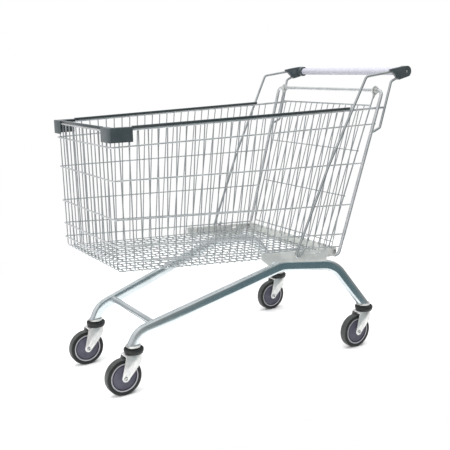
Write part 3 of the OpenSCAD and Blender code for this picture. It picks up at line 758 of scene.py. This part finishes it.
BRACKET_Y0, BRACKET_Y1 = -36, 300
BRACKET_X0, BRACKET_X1 = 249.5, 271.3
BRACKET_T = 3.0
BOLT_Y, BOLT_Z = 268, 389


def bracket_x(y):
    """The bracket's inner face follows the basket's flare."""
    return lerp(BRACKET_X0, BRACKET_X1, (y - BRACKET_Y0) / (BRACKET_Y1 - BRACKET_Y0))


def bracket(side, mirrored):
    """Pressed side plate with a foot flange on the tube, a slot and a bolt hole."""
    top_front, top_rear = (10, 417), (277.8, 396.5)
    outline = rounded([(-36, 398), (-36, 422), top_front, top_rear, (273.2, 381),
                       (237, 379), (237, 357), (10, 384), (-8, 374)], 2.2, 3)
    slit_y, slit_low = 39, 394
    slit_top = lerp(top_front[1], top_rear[1], (slit_y - top_front[0]) / (top_rear[0] - top_front[0]))
    slit = [(slit_y - 1.5, slit_top), (slit_y - 1.5, slit_low + 1), (slit_y - 0.8, slit_low)]
    slit += [(2 * slit_y - y, z) for y, z in slit[::-1]]
    before = [p for p in outline if p[1] > 405 and p[0] < slit_y - 2]
    cut_at = outline.index(before[-1]) + 1
    outline = outline[:cut_at] + slit + outline[cut_at:]
    turn = math.atan2(BRACKET_X1 - BRACKET_X0, BRACKET_Y1 - BRACKET_Y0)
    place = Matrix.Translation((BRACKET_X0, BRACKET_Y0, 0)) @ Matrix.Rotation(-turn, 4, "Z")
    place = place @ Matrix.Translation((0, -BRACKET_Y0, 0)) @ UPRIGHT
    bolt = [(BOLT_Y + x, BOLT_Z + y) for x, y in circle(4.1, 24)]
    slot = [(193.5 + b, 390 + a) for a, b in flat_oval(5, 36, 6)]
    bm = bmesh.new()
    slab(bm, outline, 0, BRACKET_T, place, [slot, bolt])
    (ref_run, ref_z), (end_run, end_z) = TUBE_RUNS[2:4]
    slope = math.atan2(ref_z - end_z, end_run - ref_run)
    ref_y = front_swivel.y + ref_run * math.cos(tube_turn)
    foot_z = ref_z + TUBE_H / 2 / math.cos(slope) + TOUCH
    corners = []
    foot_front, foot_rear = 80, 236.5
    for outside, y in ((True, foot_front), (False, foot_front), (False, foot_rear), (True, foot_rear)):
        x = tube_x(y) - TUBE_W / 2 if outside else bracket_x(y) + 0.4
        corners.append((x, (y - ref_y) / math.cos(slope)))
    foot = Matrix.Translation((0, ref_y, foot_z)) @ Matrix.Rotation(-slope, 4, "X")
    slab(bm, rounded(corners, 1.2, 2), 0, BRACKET_T, foot)
    piece(f"side_bracket_{side}_pressed", on_side(bm, mirrored), [PLATE], "trolley",
          (f"side_bracket_{side}",), 0.7)


def cross_plate():
    """Plate between the brackets: two long slots, and a lip that stops the gate."""
    low, high = node_box("rear_cross_plate")
    thick, lip = 2.5, high.y - 2.5
    outline = [(-bracket_x(low.y) + 0.3, low.y), (bracket_x(low.y) - 0.3, low.y),
               (bracket_x(high.y) - 0.3, high.y), (-bracket_x(high.y) + 0.3, high.y)]
    slot_x, slot_y = 150, 258
    slots = [[(side * slot_x + b, slot_y + a) for a, b in flat_oval(10, 66, 8)] for side in (-1, 1)]
    bm = bmesh.new()
    slab(bm, outline, low.z, low.z + thick, LEVEL, slots)
    reach = bracket_x(lip) - 0.3
    wall = rounded([(-reach, low.z), (reach, low.z), (reach, high.z), (-reach, high.z)], 3.0, 4)
    slab(bm, wall, -lip - thick, -lip, axes(X_AXIS, Z_AXIS))
    piece("rear_cross_plate_pressed", bm, [PLATE], "trolley", ("rear_cross_plate",), 0.6)


def hex_ring(radius):
    return circle(radius, 6)


def bolts():
    """Hexagon bolts and nuts at the brackets' rear ends."""

    def draw(bm):
        inner, outer = bracket_x(BOLT_Y) - 0.4, bracket_x(BOLT_Y) + BRACKET_T + 0.4
        at = Vector((0, BOLT_Y, BOLT_Z))
        sweep(bm, [at + X_AXIS * (inner - 7), at + X_AXIS * (inner - 6.5), at + X_AXIS * (outer + 0.4)],
              circle(4.0, 24), Z_AXIS, [0.8, 1, 1])
        sweep(bm, [at + X_AXIS * outer, at + X_AXIS * (outer + 3.9), at + X_AXIS * (outer + 5)],
              hex_ring(6.5), Z_AXIS, [1, 1, 0.84])
        sweep(bm, [at + X_AXIS * (inner - 5), at + X_AXIS * (inner - 4), at + X_AXIS * inner],
              hex_ring(6.5), Z_AXIS, [0.84, 1, 1])

    piece("bracket_bolt_set", on_both_sides(draw), [BOLT], "trolley",
          ("bracket_bolts",), 0.3)


# ---------------------------------------------------------------- castors

WHEEL_R = 62.5
HUB_R = 49.0
GROOVE_IN, GROOVE_OUT = 40.5, 44.5
FORK_FRONT, FORK_BACK = 36, 26      # reach of the fork before and behind the king bolt
CORNERS = ("front_left", "front_right", "rear_left", "rear_right")


def boolean(obj, cutter, operation):
    """Applies one exact boolean and deletes the cutter."""
    step = obj.modifiers.new("cut", "BOOLEAN")
    step.operation = operation
    step.solver = "EXACT"
    step.object = cutter
    finish_mesh(obj)
    bpy.data.objects.remove(cutter)


def loose(bm):
    """An object that only helps to shape another one."""
    bmesh.ops.recalc_face_normals(bm, faces=bm.faces[:])
    mesh = bpy.data.meshes.new("cutter")
    bm.to_mesh(mesh)
    bm.free()
    obj = bpy.data.objects.new("cutter", mesh)
    bpy.context.collection.objects.link(obj)
    return obj


def fork_blank(swivel, half, front, radius, low, high):
    """Solid block with a rounded back, between two heights."""
    middle = swivel.y + FORK_BACK - radius
    arc = [math.pi * i / 20 for i in range(21)]
    outline = [(half, front)]
    outline += [(half * math.cos(a), middle + radius * math.sin(a)) for a in arc]
    outline += [(-half, front)]
    bm = bmesh.new()
    slab(bm, [(swivel.x + x, y) for x, y in outline], low, high, LEVEL)
    return bm


def fork(corner):
    """Pressed fork: a round-backed cup over the wheel, trimmed to two tapering legs."""
    swivel = Vector(joints[f"swivel_{corner}"]["pos_m"]) / MM
    axle = Vector(joints[f"roll_{corner}"]["pos_m"]) / MM
    low, high = node_box(f"fork_{corner}")
    thick, half, eye_r, shoulder = 3.0, (high.x - low.x) / 2, 12.5, 120.0
    front, back = swivel.y - FORK_FRONT, swivel.y + FORK_BACK
    eye = Vector((axle.y, axle.z))

    def tangent(point, side):
        away = Vector(point) - eye
        return math.atan2(away.y, away.x) + side * math.acos(eye_r / away.length)

    start, end = tangent((back, shoulder), -1), tangent((front, high.z), 1) - 2 * math.pi
    side_view = [(front, high.z + 1), (back + 1, high.z + 1), (back + 1, shoulder)]
    for i in range(21):
        angle = lerp(start, end, i / 20)
        side_view.append((eye.x + eye_r * math.cos(angle), eye.y + eye_r * math.sin(angle)))
    trim = bmesh.new()
    bolt = [(eye.x + x, eye.y + y) for x, y in circle(4.1, 20)]
    slab(trim, side_view, swivel.x - half - 5, swivel.x + half + 5, UPRIGHT, [bolt])

    cup = loose(fork_blank(swivel, half, swivel.y - 60, 24, 40, high.z))
    hollow = fork_blank(swivel, half - thick, swivel.y - 65, 21, 30, high.z - thick)
    boolean(cup, loose(hollow), "DIFFERENCE")
    boolean(cup, loose(trim), "INTERSECT")
    bm = bmesh.new()
    bm.from_mesh(cup.data)
    bpy.data.objects.remove(cup)
    bmesh.ops.dissolve_limit(bm, angle_limit=math.radians(1), verts=bm.verts[:], edges=bm.edges[:])
    piece(f"fork_{corner}_pressed", bm, [FORK], f"swivel_{corner}",
          (f"fork_{corner}",), 1.1, 40)


def dust_ring(corner):
    """Two-step plastic ring with a dished top in which the socket disc turns."""
    swivel = Vector(joints[f"swivel_{corner}"]["pos_m"]) / MM
    low, high = node_box(f"dust_ring_{corner}")
    radius, bore, base, top = 33.0, 6.1, low.z, high.z
    profile = [(bore, base), (28.0, base), (30.2, base + 0.8), (31, base + 2.2), (31, base + 5.0),
               (31.8, base + 6.2), (radius - 0.4, base + 7.0), (radius, base + 8.2), (radius, top - 3.6),
               (radius - 0.5, top - 1.6), (radius - 1.9, top - 0.3), (radius - 3.6, top),
               (28.6, top - 1.2), (27.4, top - 4.2), (25, top - 6.0), (12, top - 6.6), (bore, top - 6.6)]
    bm = bmesh.new()
    lathe(bm, profile, Vector((swivel.x, swivel.y, 0)), Z_AXIS, 64)
    piece(f"dust_ring_{corner}_moulded", bm, [RING], f"swivel_{corner}",
          (f"dust_ring_{corner}",))


def axle(corner):
    """Domed axle bolt with a recessed head, and its nut on the other leg."""
    at = Vector(joints[f"roll_{corner}"]["pos_m"]) / MM
    low, high = node_box(f"fork_{corner}")
    side = (high.x - low.x) / 2 + TOUCH
    bm = bmesh.new()
    head = [(0.02, -side - 6.4), (3.4, -side - 6.4), (4, -side - 5.9), (4, side - 0.4), (6.5, side),
            (6.5, side + 1.6), (6.1, side + 3.2), (5.2, side + 4.2), (4.2, side + 4.5),
            (3.3, side + 4.1), (3.1, side + 2.0), (0.02, side + 1.6)]
    lathe(bm, head, at, X_AXIS, 40)
    nut = [at + X_AXIS * d for d in (-side - 5.5, -side - 4.7, -side)]
    sweep(bm, nut, hex_ring(6.5), Z_AXIS, [0.84, 1, 1])
    piece(f"axle_{corner}_bolt", bm, [BOLT], f"swivel_{corner}",
          (f"axle_{corner}",), 0, 30)


def wheel(corner):
    """Rubber tyre on a grey hub with a raised light rim and a dark groove inside it."""
    at = Vector(joints[f"roll_{corner}"]["pos_m"]) / MM
    body, half, round_r = f"wheel_{corner}", 15.0, 7
    shoulder = []
    for i in range(7):
        turn = math.radians(15 * i)
        shoulder.append((WHEEL_R - round_r + round_r * math.sin(turn),
                         half - round_r + round_r * math.cos(turn)))
    crown = [(WHEEL_R, 0)]
    outer = [(HUB_R + TOUCH, half - 1.2), (HUB_R + 1.0, half - 0.2), (HUB_R + 2.2, half)] + shoulder
    profile = outer + crown + [(r, -a) for r, a in outer[::-1]]
    edge = len(outer)
    paint = [1 if edge - 4 <= j <= edge + 3 else 0 for j in range(len(profile))]
    bm = bmesh.new()
    lathe(bm, profile, at, X_AXIS, 96, paint)
    piece(f"tyre_{corner}_moulded", bm, [SIDEWALL, TREAD], body,
          (f"tyre_{corner}",), 0, 50)

    face, rim, dip = 12.4, 14.0, 10.0
    right = [(8.05, 17.5), (11, 17.5), (13.4, 16.6), (14, 15.2), (14.6, face + 0.6), (16, face),
             (GROOVE_IN - 0.6, face), (GROOVE_IN, face - 0.6), (GROOVE_IN + 0.3, dip),
             (GROOVE_OUT - 0.3, dip), (GROOVE_OUT, rim - 1.0), (GROOVE_OUT + 0.9, rim),
             (HUB_R - 1.0, rim), (HUB_R, rim - 0.9)]
    tones = [0, 0, 0, 0, 0, 0, 0, 2, 2, 2, 1, 1, 1]
    profile = right + [(r, -a) for r, a in right[::-1]]
    bm = bmesh.new()
    lathe(bm, profile, at, X_AXIS, 96, tones + [1] + tones[::-1] + [0])
    piece(f"hub_{corner}_moulded", bm, [HUB, HUB_RIM, HUB_GROOVE], body,
          (f"hub_{corner}",), 0, 50)


# ---------------------------------------------------------------- build

basket_hoops()
basket_runners()
basket_bands()
rim_rod()
rim_strips()
rear_hoop()
stays()
handle()
handle_screws()
hinge_caps()
gate()
socket_welds()
sockets()
cross_tube()
cross_plate()
bolts()
for side, mirrored in (("left", False), ("right", True)):
    bumper(side, mirrored)
    handle_cap(side, mirrored)
    side_tube(side, mirrored)
    bracket(side, mirrored)
for corner in CORNERS:
    fork(corner)
    dust_ring(corner)
    axle(corner)
    wheel(corner)

KEPT = {"handle_tube": TUBE, "handle_plugs": DARK, "king_bolts": BOLT, "king_nuts": BOLT}
KEPT.update({f"bush_{corner}": BUSH for corner in CORNERS})
for node, material in KEPT.items():
    mesh = frame["nodes"][node].data
    mesh.materials.clear()
    mesh.materials.append(material)


# ---------------------------------------------------------------- studio


def floor():
    """Pale floor. It stops short on the left, so that the left tube mirrors the dark wall."""
    bm = bmesh.new()
    corners = [(620, -1500), (620, 1500), (-1500, 1500), (-1500, -1500)]
    bm.faces.new([bm.verts.new((x, y, 0)) for x, y in rounded(corners, 500, 12)])
    bmesh.ops.scale(bm, vec=(MM, MM, MM), verts=bm.verts)
    bmesh.ops.recalc_face_normals(bm, faces=bm.faces[:])
    mesh = bpy.data.meshes.new("floor")
    bm.to_mesh(mesh)
    bm.free()
    material, shader, where = new_material("floor_pale", 0.0)
    tint(material, shader, noise(material, where, 1.5), (0.93, 0.93, 0.93), (0.96, 0.96, 0.96))
    shader.inputs["Roughness"].default_value = 0.9
    shader.inputs["Specular IOR Level"].default_value = 0.1
    mesh.materials.append(material)
    obj = bpy.data.objects.new("floor", mesh)
    bpy.context.collection.objects.link(obj)


def area_light(name, at, target, size, power):
    """Soft white light that leaves no mirror image of itself on the metal."""
    data = bpy.data.lights.new(name, "AREA")
    data.shape = "RECTANGLE"
    data.size, data.size_y = size
    data.energy = power
    obj = bpy.data.objects.new(name, data)
    obj.location = at
    obj.rotation_euler = (Vector(target) - Vector(at)).to_track_quat("-Z", "Y").to_euler()
    obj.visible_glossy = False
    bpy.context.collection.objects.link(obj)


def facing(tree, where, azimuth, none, full):
    """How near a direction's compass bearing is to an azimuth: 1 within full degrees, 0 past none."""

    def vector_math(operation, value, other=None):
        node = tree.nodes.new("ShaderNodeVectorMath")
        node.operation = operation
        tree.links.new(value, node.inputs[0])
        if other:
            node.inputs[1].default_value = other
        return node

    angle = math.radians(azimuth)
    level = vector_math("NORMALIZE", vector_math("MULTIPLY", where, (1, 1, 0)).outputs["Vector"])
    dot = vector_math("DOT_PRODUCT", level.outputs["Vector"], (math.cos(angle), math.sin(angle), 0.0))
    span = tree.nodes.new("ShaderNodeMapRange")
    span.inputs["From Min"].default_value = math.cos(math.radians(none))
    span.inputs["From Max"].default_value = math.cos(math.radians(full))
    tree.links.new(dot.outputs["Value"], span.inputs["Value"])
    return span.outputs["Result"]


def by_height(tree, height, stops):
    """A colour by the direction's upward part, from -1 below to 1 above."""
    node = tree.nodes.new("ShaderNodeValToRGB")
    ramp = node.color_ramp
    while len(ramp.elements) < len(stops):
        ramp.elements.new(0.5)
    for element, (up, colour) in zip(ramp.elements, stops):
        element.position = (up + 1) / 2
        element.color = (*colour, 1)
    tree.links.new(height, node.inputs["Fac"])
    return node.outputs["Color"]


def mixed(tree, factor, a, b):
    """Colour a where the factor is 0 and b where it is 1."""
    node = tree.nodes.new("ShaderNodeMix")
    node.data_type = "RGBA"
    for name, value in (("Factor", factor), ("A", a), ("B", b)):
        tree.links.new(value, node.inputs[name])
    return node.outputs["Result"]


def studio():
    """Grey room, light at the nose and the far right and dark at the left, seen only in reflections."""
    world = bpy.data.worlds.new("studio")
    bpy.context.scene.world = world
    world.use_nodes = True
    tree = world.node_tree
    tree.nodes.clear()
    where = tree.nodes.new("ShaderNodeTexCoord").outputs["Generated"]
    split = tree.nodes.new("ShaderNodeSeparateXYZ")
    tree.links.new(where, split.inputs[0])
    height = tree.nodes.new("ShaderNodeMapRange")
    height.inputs["From Min"].default_value = -1.0
    tree.links.new(split.outputs["Z"], height.inputs["Value"])
    height = height.outputs["Result"]
    room = by_height(tree, height, (
        (-0.9, (0.80, 0.80, 0.77)), (-0.4, (0.34, 0.34, 0.33)), (0.35, (0.30, 0.30, 0.30)),
        (0.75, (0.95, 0.95, 0.95))))
    light = by_height(tree, height, (
        (-0.8, (0.80, 0.80, 0.79)), (0.2, (0.70, 0.69, 0.71)), (0.7, (0.90, 0.90, 0.90))))
    dark = by_height(tree, height, (
        (-0.9, (0.85, 0.85, 0.82)), (-0.66, (0.55, 0.58, 0.57)), (-0.52, (0.13, 0.20, 0.22)),
        (0.35, (0.12, 0.19, 0.21)), (0.62, (0.42, 0.44, 0.44)), (0.85, (0.95, 0.95, 0.95))))
    colour = mixed(tree, facing(tree, where, -75, 72, 52), room, light)
    colour = mixed(tree, facing(tree, where, 150, 70, 40), colour, light)
    colour = mixed(tree, facing(tree, where, 25, 18, 9), colour, dark)
    reflected = tree.nodes.new("ShaderNodeBackground")
    tree.links.new(colour, reflected.inputs["Color"])
    seen = tree.nodes.new("ShaderNodeBackground")
    seen.inputs["Color"].default_value = (1.0, 1.0, 1.0, 1)
    choose = tree.nodes.new("ShaderNodeMixShader")
    tree.links.new(tree.nodes.new("ShaderNodeLightPath").outputs["Is Camera Ray"], choose.inputs["Fac"])
    tree.links.new(reflected.outputs["Background"], choose.inputs[1])
    tree.links.new(seen.outputs["Background"], choose.inputs[2])
    tree.links.new(choose.outputs["Shader"], tree.nodes.new("ShaderNodeOutputWorld").inputs["Surface"])

    area_light("overhead", (0.2, -0.2, 3.4), (0, 0, 0.4), (4.5, 4.5), 135.0)
    area_light("nose", (0.8, -3.4, 1.6), (0, -0.3, 0.5), (2.5, 2.0), 70.0)


def camera():
    """Camera at the photograph's viewing angle, with its slight roll."""
    target = Vector((0.0, -0.0614, 0.4698))
    position = Vector((2.2148, -1.4432, 1.0533))
    roll = math.radians(-1.04)
    back = (position - target).normalized()
    right = Z_AXIS.cross(back).normalized()
    up = back.cross(right)
    turned = right * math.cos(roll) + up * math.sin(roll)
    raised = up * math.cos(roll) - right * math.sin(roll)
    data = bpy.data.cameras.new("photo_view")
    data.sensor_width = 36.0
    data.lens = 58.75
    data.shift_x, data.shift_y = 0.021, 0.006
    data.clip_end = 100.0
    obj = bpy.data.objects.new("photo_view", data)
    facing_target = Matrix((turned, raised, back)).transposed().to_4x4()
    obj.matrix_world = Matrix.Translation(position) @ facing_target
    bpy.context.collection.objects.link(obj)
    bpy.context.scene.camera = obj


floor()
studio()
camera()
bpy.context.scene.view_settings.view_transform = "Standard"
